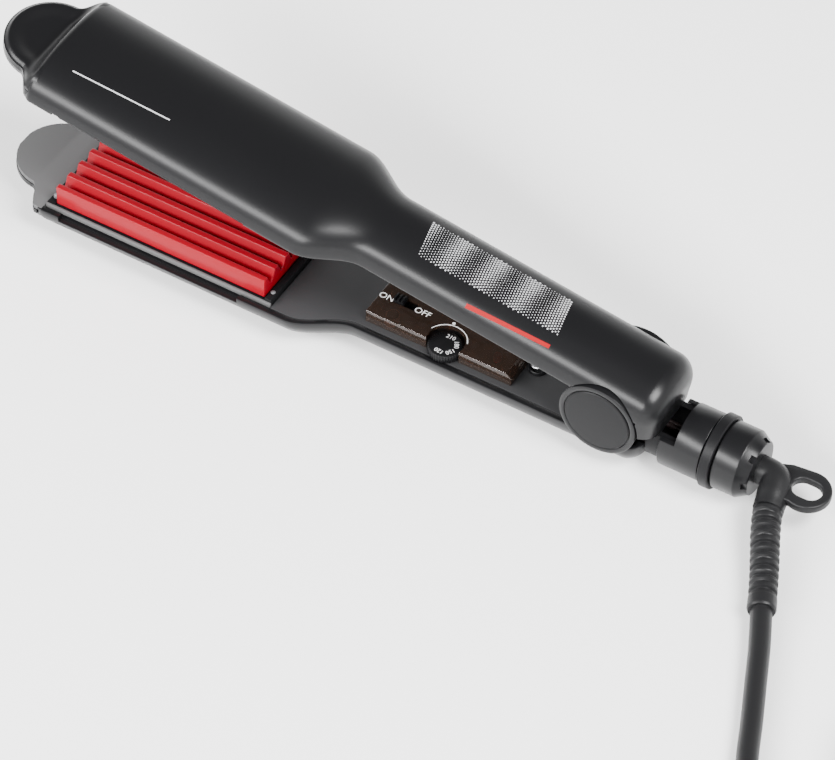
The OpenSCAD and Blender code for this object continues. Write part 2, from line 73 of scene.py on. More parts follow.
def row(p, upper=False):
    """A point in millimetres from the hinge axis, as metres in the row frame."""
    x, y, z = p
    if upper:
        x, z = x * math.cos(OPEN) + z * math.sin(OPEN), z * math.cos(OPEN) - x * math.sin(OPEN)
    return ((x + HINGE[0]) * mm, y * mm, (z + HINGE[2]) * mm)


# ---------- materials ----------

SLOTS = ("satin_black", "soft_black", "cover_grey", "red_plate", "steel", "ceramic", "brass",
         "board_green", "copper", "smoked", "led_red", "wire_red", "cord_black", "nickel")


def material(name, color, rough=0.4, metal=0.0, grain=0.0, scale=400.0, var=0.04, coat=0.0, spec=0.5,
             trans=0.0, stretch=None):
    """Surface with slow wear in its roughness and, where grain is given, a fine bump."""
    m = bpy.data.materials.new("look_" + name)
    m["slot"] = name if name in SLOTS else ""
    m.use_nodes = True
    nt = m.node_tree
    b = nt.nodes["Principled BSDF"]
    b.inputs["Base Color"].default_value = (*color, 1)
    b.inputs["Roughness"].default_value = rough
    b.inputs["Metallic"].default_value = metal
    b.inputs["Specular IOR Level"].default_value = spec
    b.inputs["Coat Weight"].default_value = coat
    b.inputs["Coat Roughness"].default_value = 0.12
    b.inputs["Transmission Weight"].default_value = trans
    tc = nt.nodes.new("ShaderNodeTexCoord")
    mp = nt.nodes.new("ShaderNodeMapping")
    mp.inputs["Scale"].default_value = stretch or (1, 1, 1)
    nt.links.new(tc.outputs["Object"], mp.inputs["Vector"])
    wear = nt.nodes.new("ShaderNodeTexNoise")
    wear.inputs["Scale"].default_value = 35
    wear.inputs["Detail"].default_value = 4
    nt.links.new(mp.outputs["Vector"], wear.inputs["Vector"])
    mr = nt.nodes.new("ShaderNodeMapRange")
    mr.inputs["To Min"].default_value = max(0.02, rough - var)
    mr.inputs["To Max"].default_value = min(1.0, rough + var)
    nt.links.new(wear.outputs["Fac"], mr.inputs["Value"])
    nt.links.new(mr.outputs["Result"], b.inputs["Roughness"])
    if grain:
        fine = nt.nodes.new("ShaderNodeTexNoise")
        fine.inputs["Scale"].default_value = scale
        fine.inputs["Detail"].default_value = 3
        nt.links.new(mp.outputs["Vector"], fine.inputs["Vector"])
        bump = nt.nodes.new("ShaderNodeBump")
        bump.inputs["Strength"].default_value = grain
        bump.inputs["Distance"].default_value = 0.0002
        nt.links.new(fine.outputs["Fac"], bump.inputs["Height"])
        nt.links.new(bump.outputs["Normal"], b.inputs["Normal"])
    return m


SATIN = material("satin_black", (0.005, 0.005, 0.0055), 0.30, grain=0.04, scale=2600, var=0.03,
                 spec=0.22)
TAB_GREY = material("cover_grey", (0.075, 0.075, 0.076), 0.55, grain=0.2, scale=3000, spec=0.35)
BLACK = material("soft_black", (0.005, 0.005, 0.0055), 0.42, grain=0.12, scale=2200, spec=0.12)
COVER_MAT = material("cover_grey", (0.018, 0.018, 0.019), 0.5, grain=0.2, scale=3000, spec=0.4)
RED = material("red_plate", (0.21, 0.001, 0.008), 0.30, coat=0.05, grain=0.03, scale=900, var=0.04,
               spec=0.15)
STEEL = material("steel", (0.52, 0.52, 0.53), 0.32, metal=1.0, grain=0.2, scale=900, stretch=(1, 12, 12))
STUD = material("stud_grey", (0.09, 0.09, 0.095), 0.45, grain=0.1)
CERAMIC = material("ceramic", (0.6, 0.59, 0.56), 0.6, grain=0.2)
BRASS = material("brass", (0.62, 0.42, 0.18), 0.3, metal=1.0, grain=0.1)
BOARD = material("board_green", (0.02, 0.10, 0.05), 0.35, grain=0.1, coat=0.4)
COPPER = material("copper", (0.75, 0.30, 0.13), 0.3, metal=1.0, grain=0.3, scale=900, stretch=(1, 1, 14))
SMOKED = material("smoked", (0.12, 0.075, 0.055), 0.04, trans=0.88, var=0.01)
LED_RED = material("led_red", (0.5, 0.01, 0.01), 0.2, coat=0.5)
# White for the print, and also for the painted highlight arc at the dial's cut-out.
WHITE = material("print_and_highlight_white", (0.75, 0.75, 0.75), 0.5)
DOTS = material("printed_grey", (0.42, 0.42, 0.43), 0.45)
RED_INK = material("printed_red", (0.22, 0.002, 0.004), 0.5, spec=0.1)
RUBBER = material("cord_black", (0.008, 0.008, 0.0085), 0.42, grain=0.2, scale=1800, spec=0.2)
NICKEL = material("nickel", (0.66, 0.65, 0.62), 0.2, metal=1.0, grain=0.05)
WIRE = material("wire_red", (0.012, 0.006, 0.006), 0.5, grain=0.1)


# ---------- mesh helpers ----------

def build(name, verts, faces, mat, body, upper=False, nodes=(), slot=None, sharp=38, raw=False):
    """A mesh piece that rides on a body; its points are in millimetres, or in metres where raw."""
    me = bpy.data.meshes.new(name)
    me.from_pydata([v if raw else row(v, upper) for v in verts], [], faces)
    me.validate()
    bm = bmesh.new()
    bm.from_mesh(me)
    bmesh.ops.remove_doubles(bm, verts=bm.verts, dist=1e-7)
    bmesh.ops.recalc_face_normals(bm, faces=bm.faces)
    bm.to_mesh(me)
    bm.free()
    o = bpy.data.objects.new(name, me)
    bpy.context.collection.objects.link(o)
    me.materials.append(mat)
    finish_mesh(o, sharp)
    if body:
        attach(o, body)
    if nodes:
        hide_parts(*nodes)
    return o


def finish_mesh(o, sharp):
    """Smooth shading with edges kept sharp above an angle."""
    me = o.data
    me.polygons.foreach_set("use_smooth", [True] * len(me.polygons))
    me.set_sharp_from_angle(angle=math.radians(sharp))
    me.update()


def chamfer(o, width, segments=2, angle=30):
    """Rounds every edge that turns by more than the angle."""
    bm = bmesh.new()
    bm.from_mesh(o.data)
    edges = [e for e in bm.edges
             if len(e.link_faces) == 2 and e.calc_face_angle(0) > math.radians(angle)]
    bmesh.ops.bevel(bm, geom=edges, offset=width * mm, segments=segments, profile=0.5, affect="EDGES",
                    clamp_overlap=True)
    bm.to_mesh(o.data)
    bm.free()
    finish_mesh(o, 38)
    return o


def cut(o, *cutters):
    """Takes the cutters out of a piece and deletes them."""
    for c in cutters:
        m = o.modifiers.new("cut", "BOOLEAN")
        m.object = c
        m.solver = "EXACT"
    me = bpy.data.meshes.new_from_object(o.evaluated_get(bpy.context.evaluated_depsgraph_get()))
    o.modifiers.clear()
    o.data = me
    for c in cutters:
        bpy.data.objects.remove(c)
    finish_mesh(o, 38)
    return o


def grid_faces(n, m, closed=False):
    """Faces between n rows of m points; a closed grid joins each row to a ring and caps both ends."""
    k = m if closed else m - 1
    f = [(i * m + j, i * m + (j + 1) % m, (i + 1) * m + (j + 1) % m, (i + 1) * m + j)
         for i in range(n - 1) for j in range(k)]
    if closed:
        f += [tuple(range(m - 1, -1, -1)), tuple((n - 1) * m + j for j in range(m))]
    return f


def prism_faces(n):
    """Faces between two copies of an outline of n points."""
    return [tuple(range(n - 1, -1, -1)), tuple(range(n, 2 * n))] + \
           [(i, (i + 1) % n, n + (i + 1) % n, n + i) for i in range(n)]


def loft(name, rings, mat, body, **kw):
    return build(name, [p for r in rings for p in r], grid_faces(len(rings), len(rings[0]), True), mat,
                 body, **kw)


def prism(name, outline, z0, z1, mat, body, bevel=0.25, **kw):
    v = [(x, y, z0) for x, y in outline] + [(x, y, z1) for x, y in outline]
    o = build(name, v, prism_faces(len(outline)), mat, body, **kw)
    return chamfer(o, bevel) if bevel else o


def block(name, lo, hi, mat, body, bevel=0.25, **kw):
    (x0, y0, z0), (x1, y1, z1) = lo, hi
    return prism(name, [(x0, y0), (x1, y0), (x1, y1), (x0, y1)], z0, z1, mat, body, bevel, **kw)


def lathe(name, profile, axis, at, mat, body, n=96, **kw):
    """Revolves (along, radius) points about an axis through the point at."""
    rings = []
    for k in range(n):
        t = 2 * math.pi * k / n
        c, s = math.cos(t), math.sin(t)
        rings.append([{"x": (at[0] + a, at[1] + r * c, at[2] + r * s),
                       "y": (at[0] + r * s, at[1] + a, at[2] + r * c),
                       "z": (at[0] + r * c, at[1] + r * s, at[2] + a)}[axis] for a, r in profile])
    m = len(profile)
    f = [(i * m + j, ((i + 1) % n) * m + j, ((i + 1) % n) * m + j + 1, i * m + j + 1)
         for i in range(n) for j in range(m - 1)]
    return build(name, [p for r in rings for p in r], f, mat, body, **kw)


def arc(c, r, a0, a1, n=6):
    """Points on an arc in a lathe's profile, about a centre (along, radius)."""
    return [(c[0] + r * math.cos(math.radians(a0 + (a1 - a0) * i / n)),
             c[1] + r * math.sin(math.radians(a0 + (a1 - a0) * i / n))) for i in range(n + 1)]


def tube(name, route, radius, mat, body, sides=20, raw=False, **kw):
    """A round tube along points; radius is one value or a function of the share of the length."""
    pts = [Vector(p) for p in route]
    total = sum((b - a).length for a, b in zip(pts, pts[1:]))
    rings, side, walked = [], None, 0.0
    for i, p in enumerate(pts):
        t = (pts[min(i + 1, len(pts) - 1)] - pts[max(i - 1, 0)]).normalized()
        if side is None:
            side = t.cross(Vector((0, 0, 1)) if abs(t.z) < 0.9 else Vector((1, 0, 0))).normalized()
        side = (side - t * side.dot(t)).normalized()
        other = t.cross(side)
        walked += (p - pts[i - 1]).length if i else 0
        r = radius(walked / total) if callable(radius) else radius
        rings.append([tuple(p + side * (r * math.cos(2 * math.pi * k / sides))
                            + other * (r * math.sin(2 * math.pi * k / sides))) for k in range(sides)])
    return loft(name, rings, mat, body, raw=raw, **kw)


def spline(points, step):
    """Points a step apart on a smooth curve through points."""
    p = [Vector(q) for q in points]
    p = [p[0] * 2 - p[1]] + p + [p[-1] * 2 - p[-2]]
    dense = []
    for a, b, c, d in zip(p, p[1:], p[2:], p[3:]):
        for i in range(24):
            t = i / 24
            dense.append(0.5 * (2 * b + (c - a) * t + (2 * a - 5 * b + 4 * c - d) * t * t
                                + (3 * b - a - 3 * c + d) * t ** 3))
    dense.append(p[-2])
    return resample(dense, step)


def resample(dense, step):
    """Points a step apart along a line of points."""
    dense = [Vector(q) for q in dense]
    s = np.concatenate([[0], np.cumsum([(b - a).length for a, b in zip(dense, dense[1:])])])
    n = max(2, int(round(s[-1] / step)))
    xyz = np.array(dense)
    at = np.linspace(0, s[-1], n + 1)
    return [Vector([np.interp(v, s, xyz[:, k]) for k in range(3)]) for v in at]


# ---------- arm shape ----------

def smooth(t):
    t = min(max(t, 0.0), 1.0)
    return t * t * (3 - 2 * t)


NECK_FROM, NECK_L = -116, 22
HEAD_HALF, HANDLE_HALF = 26.2, 16.4
HEAD_CROWN, HANDLE_CROWN = 13.1, 11.6
SHELL_X0_UPPER, SHELL_X0_LOWER = -224.5, -220
LIP_TO, SKIRT_Z = -135.0, -7.3
SCREWS_X = (-119.6, -24)


def neck(x):
    """0 at the head, 1 at the handle."""
    return smooth((x - NECK_FROM) / NECK_L)


def half_w(x):
    return HEAD_HALF + (HANDLE_HALF - HEAD_HALF) * neck(x)


def crown(x):
    return HEAD_CROWN + (HANDLE_CROWN - HEAD_CROWN) * neck(x)


def end_round(d, r):
    """How far an outline steps in at a distance d from an end rounded by r."""
    return 0.0 if d >= r else r - math.sqrt(max(0.0, r * r - (r - max(d, 0.0)) ** 2))


def spow(v, p):
    """A power that keeps the sign."""
    return math.copysign(abs(v) ** p, v)


def crown_z(x, y):
    """Height of the outer surface above an arm's edge plane."""
    share = max(0.0, 1 - (abs(y) / half_w(x)) ** SQUARENESS)
    return SEAM + crown(x) * share ** (1 / SQUARENESS)


def shell(name, x0, x1, r0, r1, low_from, upper, nodes):
    """Outer shell with its rim, drawn with the outside upwards; the lower one is mirrored."""
    xs = [x0 + r0 * (1 - math.cos(math.pi / 2 * i / 14)) for i in range(15)]
    xs += list(np.arange(x0 + r0 + 1.5, x1 - r1 - 1, 1.6))
    xs += [x1 - r1 + r1 * math.sin(math.pi / 2 * i / 14) for i in range(15)]
    lip_from, lip_up = (-212.5, 0.8) if upper else (-208.0, 1.8)
    for edge in (lip_from, LIP_TO, low_from, x0 + WALL, x1 - WALL):
        if x0 < edge < x1:
            xs += [edge - 0.02, edge + 0.02]
    rings = []
    for x in sorted(set(round(v, 4) for v in xs)):
        e = end_round(x - x0, r0) + end_round(x1 - x, r1)
        a, h = half_w(x) - e, crown(x) - e
        lip = lip_up if lip_from < x < LIP_TO else 0.0
        if x > low_from:
            lip = SKIRT_Z
        inside = x0 + WALL < x < x1 - WALL
        deck = 1.6 if inside else lip + 0.01
        wall = min(WALL, a * 0.5)
        arcpts = []
        for i in range(61):
            t = math.pi * i / 60
            y = -a * spow(math.cos(t), 2 / SQUARENESS)
            z = h * math.sin(t) ** (2 / SQUARENESS)
            arcpts.append((x, y, SEAM + max(z, lip + 0.35)))
        rim = [(x, a - 0.1, SEAM + lip + 0.1), (x, a - 0.4, SEAM + lip), (x, a - wall + 0.3, SEAM + lip),
               (x, a - wall, SEAM + lip + 0.2 if deck > lip + 0.2 else SEAM + lip + 0.005),
               (x, a - wall, SEAM + deck)]
        rings.append(arcpts + rim + [(p[0], -p[1], p[2]) for p in reversed(rim)])
    if not upper:
        rings = [[(p[0], p[1], -p[2]) for p in r] for r in rings]
    return loft(name, rings, SATIN, "upper_arm" if upper else "base", upper=upper, nodes=nodes,
                slot="satin_black", sharp=50)


def tab_w(x, centre, reach, half, grow):
    """Half width of a finger tab: a half ellipse that flares out to the head's width at its root."""
    d = max(0.0, (centre - x) / reach)
    return half * math.sqrt(max(0.0, 1 - d * d)) + grow * smooth((x - centre + 1.5) / 7.5)


def tab(name, centre, reach, half, grow, x_root, lip_x, sign, upper, lift):
    """Finger tab with a raised outer rim, a saddle and a hollow slope up to the head's crown."""
    n, m = 64, 41
    back_z, saddle_z, head_z = 9.8, 12.4, 13.2
    top, bottom = [], []
    for i in range(n):
        s = i / (n - 1)
        x = x_root + (centre - reach - x_root) * (1 - (1 - s) ** 1.6)
        w = tab_w(x, centre, reach, half, grow)
        d = max(0.0, (centre - x) / reach)
        full = half + grow * smooth((x - centre + 1.5) / 7.5)
        slope = (1 - min(max((lip_x - x) / 6.4, 0.0), 1.0)) ** 2
        for j in range(m):
            y = w * math.sin(math.pi / 2 * (2 * j / (m - 1) - 1))
            rho = math.hypot(d, y / full)
            z = saddle_z + lift * smooth((rho - 0.5) / 0.36) - 1.5 * smooth((rho - 0.88) / 0.12)
            z += slope * max(0.0, crown_z(-200, y) - head_z)
            top.append((x, y, z))
            bottom.append((x, y, back_z))
    verts = top + bottom
    f = grid_faces(n, m) + [tuple(n * m + k for k in reversed(q)) for q in grid_faces(n, m)]
    edge = [i * m for i in range(n)] + [(n - 1) * m + j for j in range(1, m)] + \
           [i * m + m - 1 for i in range(n - 2, -1, -1)] + [j for j in range(m - 2, 0, -1)]
    k = len(edge)
    f += [(edge[i], edge[(i + 1) % k], n * m + edge[(i + 1) % k], n * m + edge[i]) for i in range(k)]
    verts = [(x, y, sign * z) for x, y, z in verts]
    return build(name, verts, f, SATIN, "upper_arm" if upper else "base", upper=upper,
                 slot="satin_black", sharp=50)


def tab_outline(centre, reach, half, grow, inside, inset=0.3):
    """Outline of a tab's inner face, as far as the plate; it steps in past the shell's wall."""
    tip = centre - reach + inset
    xs = [tip + (inside - tip) * (1 - math.cos(math.pi / 2 * i / 60)) for i in range(61)]
    side = [(x, max(0.0, tab_w(x, centre - 0.01, reach, half, grow) - inset)) for x in xs]
    side += [(inside, 23.7), (-215.3, 23.7)]
    return [(x, -y) for x, y in reversed(side)] + side[1:]


def cover_outline(x0, x1, n=60):
    """Outline of a handle's inner cover, inside the shell's wall."""
    xs = [x0 + (x1 - x0) * i / n for i in range(n + 1)]
    edge = [(x, half_w(x) - WALL - 0.3) for x in xs]
    return edge + [(x, -y) for x, y in reversed(edge)]


def cyl(name, at, r, axis, a0, a1, upper=False):
    """A plain cylinder, used as a cutter."""
    return lathe(name, [(a0, 0.0), (a0, r), (a1, r), (a1, 0.0)], axis, at, BLACK, None, upper=upper)


# ---------- arms ----------

cut(shell("upper_shell_skin", SHELL_X0_UPPER, 20, 3.0, 8, 13.0, True, ("upper_shell",)),
    cyl("c1", (0, 0, 0), 14.9, "y", 13.3, 22, True), cyl("c2", (0, 0, 0), 14.9, "y", -22, -13.3, True))
cut(shell("lower_shell_skin", SHELL_X0_LOWER, 15.2, 5.5, 6.5, 99.0, False, ("lower_shell",)),
    cyl("c3", (0, 0, AXIS_Z), 10.4, "x", 4, 22),
    *[cyl("well", (x, 0, 0), 2.6, "z", -30, -(SEAM + crown(x) - 3)) for x in SCREWS_X])
UPPER_TAB, LOWER_TAB = (-229.8, 16.6, 17.6, 7.6), (-224.1, 15.8, 16.2, 9.6)
tab("upper_tab", *UPPER_TAB, -221.6, -223.2, 1, True, 1.0)
tab("lower_tab", *LOWER_TAB, -217.2, -218.8, -1, False, 0.6)

for s in (-1, 1):
    boss = [(s * 13.8, 2.6), (s * 13.8, 14.2), (s * 16.0, 14.4), (s * 16.4, 14.3), (s * 16.6, 14.0),
            (s * 16.6, 12.75), (s * 16.45, 12.5), (s * 15.9, 12.5), (s * 15.9, 2.6)]
    lathe("cheek_%d" % (s > 0), boss, "y", (0, 0, 0), SATIN, "base", slot="satin_black")
    face = [(s * 15.85, 0.0), (s * 15.85, 12.2), (s * 16.5, 12.2), (s * 16.85, 11.9), (s * 16.9, 11.5),
            (s * 16.9, 0.0)]
    lathe("cap_%d" % (s > 0), face, "y", (0, 0, 0), BLACK, "base",
          nodes=("far_hinge_cap" if s > 0 else "near_hinge_cap",), slot="satin_black")

prism("lower_tip_face", tab_outline(*LOWER_TAB, -215.4), -9.8, -8.1, TAB_GREY, "base", 0.25,
      nodes=("lower_tip_cover",), slot="cover_grey")
prism("upper_tip_face", tab_outline(*UPPER_TAB, -222.4), 8.1, 9.85, TAB_GREY, "upper_arm", 0.25, upper=True,
      nodes=("upper_tip_cover",), slot="cover_grey")
prism("lower_cover_face", cover_outline(-122.9, 9), -9.85, -SEAM, COVER_MAT, "base", 0.2,
      nodes=("lower_handle_cover",), slot="cover_grey")
prism("upper_cover_face", cover_outline(-122.9, 9), SEAM, 9.85, COVER_MAT, "upper_arm", 0.2, upper=True,
      nodes=("upper_handle_cover",), slot="cover_grey")
for s in (-1, 1):
    ear = [(7.4 * math.cos(math.pi * i / 24), -7.4 * math.sin(math.pi * i / 24)) for i in range(25)]
    ear += [(-7.4, 9.2), (7.4, 9.2)]
    v = [(x, s * 9.9, z) for x, z in ear] + [(x, s * 12.9, z) for x, z in ear]
    chamfer(build("ear_%d" % (s > 0), v, prism_faces(len(ear)), COVER_MAT, "upper_arm", upper=True,
                  slot="cover_grey"), 0.3)


# ---------- plates ----------

PLATE_X, PLATE_HALF = (-211.4, -126.4), 21.8
RIDGE_STEP, RIDGE_HALF, FLANK = 6.9, 1.1, 1.85
RIDGE_Z, VALLEY_Z, BACK_Z = 1.05, -3.15, -6.9


def plate_profile(n, y0, edge):
    """Section of a plate with n ridges from y0 on; edge adds a flat border on both sides."""
    reach = RIDGE_HALF + FLANK
    pts = []
    for i in range(n):
        y = y0 + RIDGE_STEP * i
        pts += [(y - RIDGE_HALF, RIDGE_Z), (y + RIDGE_HALF, RIDGE_Z)]
        if i < n - 1:
            pts += [(y + reach, VALLEY_Z), (y + RIDGE_STEP - reach, VALLEY_Z)]
    if edge:
        pts = [(-PLATE_HALF, VALLEY_Z), (y0 - reach, VALLEY_Z)] + pts
        pts += [(reach - y0, VALLEY_Z), (PLATE_HALF, VALLEY_Z)]
    return pts + [(PLATE_HALF, BACK_Z), (-PLATE_HALF, BACK_Z)]


def plate(name, profile, sign, upper, nodes):
    v = [(x, y, sign * z) for x in PLATE_X for y, z in profile]
    o = build(name, v, prism_faces(len(profile)), RED, "upper_arm" if upper else "base", upper=upper,
              nodes=nodes, slot="red_plate")
    return chamfer(o, 0.32, 3)


plate("lower_plate", plate_profile(7, -20.7, False), 1, False, ("lower_crimp_plate",))
plate("upper_plate", plate_profile(6, -17.25, True), -1, True, ("upper_crimp_plate",))


def carrier(upper):
    """Tray around a plate: rails, ledges, end walls and four studs."""
    s, body, t = (-1, "upper_arm", "upper") if upper else (1, "base", "lower")

    def bar(name, x0, x1, y0, y1, z0, z1, bevel=0.3, mat=BLACK, **kw):
        z0, z1 = sorted((s * z0, s * z1))
        return block("%s_%s" % (t, name), (x0, y0, z0), (x1, y1, z1), mat, body, bevel, upper=upper, **kw)

    for k, y in enumerate((-1, 1)):
        a, b = sorted((y * 22.3, y * 23.3))
        # The rails on both arms take the lighter tab grey: painted highlight along their top edges.
        bar("rail_%d" % k, -215, -123.2, a, b, -9.4, -7.3, 0.3, TAB_GREY)
        if upper:
            bar("skirt_%d" % k, *PLATE_X, a, b, -8.4, -5.0, 0.3)
        a, b = sorted((y * 20.6, y * 22.4))
        bar("ledge_%d" % k, -212, -126, a, b, -13.3, -7.6, 0.1)
    bar("end_0", -215, -211.9, -22.6, 22.6, -13.3, -7.1, 0.35, nodes=("%s_plate_carrier" % t,),
        slot="soft_black")
    bar("end_1", -125.9, -123.2, -22.6, 22.6, -13.3, -6.0, 0.4)
    r, foot, dome_at, top = 1.15, -9, -6.7, -5.5
    stud = [(s * foot, r), (s * dome_at, r)]
    stud += [(s * (dome_at + r * math.sin(a)), r * math.cos(a)) for a in DOME] + [(s * top, 0.0)]
    for i, x in enumerate((-213.3, -124.7)):
        for k, y in enumerate((-18.8, 18.8)):
            kw = {"nodes": ("%s_plate_pins" % t,)} if i == k == 0 else {}
            lathe("%s_stud_%d%d" % (t, i, k), stud, "z", (x, y, 0), STUD, body, n=24, upper=upper,
                  slot="steel", **kw)


carrier(False)
carrier(True)


# ---------- controls ----------

WINDOW_TOP, BOARD_TOP = -3.0, -9.7
# Height of the print on the window's top, and of the painted highlight arc at the dial's cut-out.
PRINT_AND_HIGHLIGHT_Z = WINDOW_TOP + 0.04
DIAL_X, DIAL_Y = -62, -9.5


def window_body():
    """Clear box with a sloped end, hollow inside, open over the dial and the switch."""
    x0, x1, w, z0, z1, t = -92.2, -35.2, 11.7, -SEAM, WINDOW_TOP, 1.1
    outline = [(x0, z0), (x0, z1), (x1 - 2.0, z1), (x1, z1 - 2.0), (x1, z0)]
    v = [(x, -w, z) for x, z in outline] + [(x, w, z) for x, z in outline]
    o = chamfer(build("window_skin", v, prism_faces(len(outline)), SMOKED, "base", nodes=("control_window",),
                      slot="smoked"), 0.35, 3)
    inner = block("c4", (x0 + t, -w + t, z0 - 1), (x1 - t, w - t, z1 - t), BLACK, None, 0)
    knob_slot = block("c5", (-87.2, -3.4, -6), (-78.0, 0.6, 0), BLACK, None, 0)
    return cut(o, inner, cyl("c6", (DIAL_X, DIAL_Y, 0), 6.8, "z", -12, 2), knob_slot)


window_body()
block("board", (-91, -9.6, -11.3), (-36.4, 9.6, BOARD_TOP), BOARD, "base", 0.15, nodes=("circuit_board",))
for k, (x, y, r, h) in enumerate(((-70, 5, 2.3, 3.8), (-52, 4, 2.3, 3.8), (-40, -6, 1.9, 3.4),
                                  (-66.5, 1.5, 1.2, 2.4))):
    can = [(BOARD_TOP, 0), (BOARD_TOP, r)] + arc((BOARD_TOP + h - 0.3, r - 0.3), 0.3, 90, 0, 3)
    can += [(BOARD_TOP + h - 0.1, 0)]
    lathe("capacitor_%d" % k, can, "z", (x, y, 0), COPPER if k % 2 else BLACK, "base", n=32, slot="copper")
chips = ((-53, -7.5, -46.8, -3, 1.4, BLACK), (-58, 6, -54, 8.4, 1.0, COPPER),
         (-48, 5.5, -44, 8, 1.2, BRASS), (-76, 4.5, -73, 8.5, 1.6, CERAMIC))
for k, (x0, y0, x1, y1, h, mat) in enumerate(chips):
    block("chip_%d" % k, (x0, y0, BOARD_TOP), (x1, y1, BOARD_TOP + h), mat, "base", 0.15, slot="soft_black")
coil_turns = [(-84 + 2.3 * math.cos(t), -7 + 2.3 * math.sin(t), -9.3 + 0.075 * t)
              for t in np.arange(0, 2 * math.pi * 8.6, 0.3)]
tube("coil_winding", coil_turns, 0.28, COPPER, "base", 8, nodes=("coil_inductor",), slot="copper")
lathe("coil_core", [(BOARD_TOP, 0), (BOARD_TOP, 2.0), (-5.0, 2.0), (-5.0, 0)], "z", (-84, -7, 0), BLACK,
      "base", n=24, slot="soft_black")
block("switch_base", (-90, -4.2, BOARD_TOP), (-76, 1.4, -5.4), BLACK, "base", 0.3, nodes=("switch_body",))
block("knob", (-86.7, -3.0, -5.1), (-82.5, 0.2, -2.5), BLACK, "switch", 0.25, nodes=("switch_knob",))
for dx in (-1.5, 0.0, 1.5):
    block("knob_rib", (-84.6 + dx - 0.35, -3.0, -2.6), (-84.6 + dx + 0.35, 0.2, -1.5), BLACK, "switch", 0.15)
block("dial_pot", (-65, -12.2, BOARD_TOP), (-59, -6.6, -8.35), BLACK, "base", 0.2,
      nodes=("dial_potentiometer",))
lens = [(BOARD_TOP, 0), (BOARD_TOP, 1.5), (-7.0, 1.5)]
lens += [(-7.0 + 1.4 * math.sin(a), 1.5 * math.cos(a)) for a in DOME] + [(-5.6, 0)]
lathe("power_led_lens", lens, "z", (-45.3, -3, 0), LED_RED, "base", n=24, nodes=("power_led",))


def dial():
    """Knurled wheel; each knurl has six points."""
    knurls, radius = 38, 6.2
    rings = []
    n = knurls * 6
    for z, dr in ((-7.9, 0.5), (-7.6, 0.0), (-5.2, 0.0), (-4.95, 0.25), (-4.8, 0.7), (-4.8, 6.0)):
        ring = []
        for i in range(n):
            t = 2 * math.pi * i / n
            groove = 0.28 * (0.5 + 0.5 * math.cos(knurls * t)) if dr < 0.6 else 0.0
            r = radius - dr - groove
            ring.append((DIAL_X + r * math.cos(t), DIAL_Y + r * math.sin(t), z))
        rings.append(ring)
    return loft("dial_wheel", rings, BLACK, "dial", nodes=("temperature_dial",), slot="soft_black", sharp=60)


dial()


def words(name, body_text, at, size, turn, mat, body):
    """Generic printed letters or numbers lying flat at a point."""
    c = bpy.data.curves.new(name, "FONT")
    c.body = body_text
    c.align_x = "CENTER"
    c.align_y = "CENTER"
    c.size = size * mm
    c.extrude = 0.02 * mm
    c.resolution_u = 3
    o = bpy.data.objects.new(name, c)
    bpy.context.collection.objects.link(o)
    o.matrix_world = Matrix.Translation(row(at)) @ Matrix.Rotation(math.radians(turn), 4, "Z")
    bpy.context.view_layer.update()
    me = bpy.data.meshes.new_from_object(o)
    me.transform(o.matrix_world)
    bpy.data.objects.remove(o)
    m = bpy.data.objects.new(name, me)
    bpy.context.collection.objects.link(m)
    me.materials.clear()
    me.materials.append(mat)
    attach(m, body)


words("label_on", "ON", (-89.3, -2.6, PRINT_AND_HIGHLIGHT_Z), 3.6, 0, WHITE, "base")
words("label_off", "OFF", (-75.2, -2.4, PRINT_AND_HIGHLIGHT_Z), 3.6, 0, WHITE, "base")
for k, value in enumerate(("210", "180", "150", "120")):
    turn = -62 * k
    t = math.radians(90 + turn)
    words("dial_" + value, value, (DIAL_X + 3.7 * math.cos(t), DIAL_Y + 3.7 * math.sin(t), -4.76), 2.3, turn,
          WHITE, "dial")
lathe("mark", [(-2.99, 0.6), (-2.94, 0.6), (-2.94, 0)], "z", (-63.6, -1.2, 0), WHITE, "base", n=20)

# Painted highlight: this thin white arc just outside the window's round cut-out over the dial stands in for
# the light caught on the cut-out's edge.
painted_cutout_highlight = [(DIAL_X + q * math.cos(t), DIAL_Y + q * math.sin(t), PRINT_AND_HIGHLIGHT_Z)
             for t in np.linspace(0.35, 2.8, 40) for q in (7.25, 7.6)]
build("dial_arc", painted_cutout_highlight, [(2 * i, 2 * i + 1, 2 * i + 3, 2 * i + 2) for i in range(39)], WHITE, "base")

# opening spring and its seat
SPRING_X, SPRING_R, SPRING_TURNS = -31.2, 2.3, 7.5
wire = [(SPRING_X + SPRING_R * math.cos(t), SPRING_R * math.sin(t),
         -7.3 + 19.4 * t / (2 * math.pi * SPRING_TURNS))
        for t in np.arange(0, 2 * math.pi * SPRING_TURNS, 0.2)]
spring = tube("opening_spring_wire", wire, 0.4, STEEL, None, 10, nodes=("opening_spring",))
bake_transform(spring)
seat = [(-SEAM, 0), (-SEAM, 3.3), (-7.0, 3.3), (-6.8, 3.1), (-6.8, 2.9), (-7.7, 2.8), (-7.7, 0)]
lathe("seat_ring", seat, "z", (SPRING_X, 0, 0), BLACK, "base", n=48, nodes=("spring_seat",))

# ---------- swivel end ----------

AXIS = (0, 0, AXIS_Z)
core_profile = [(4, 8.4), (4, 10.38), (36.4, 10.38), (36.4, 13.0), (36.7, 13.3), (39.9, 13.3), (40.2, 13.0),
                (40.2, 10.4), (46, 10.38), (46, 8.4), (4, 8.4)]
core = lathe("core_tube", core_profile, "x", AXIS, BLACK, "base", nodes=("swivel_core",), slot="soft_black")
cut(core, block("c7", (2, -20, -10.0), (15.5, 20, 20), BLACK, None, 0),
    block("c8", (15, -20, -3.2), (26.6, 20, 20), BLACK, None, 0))

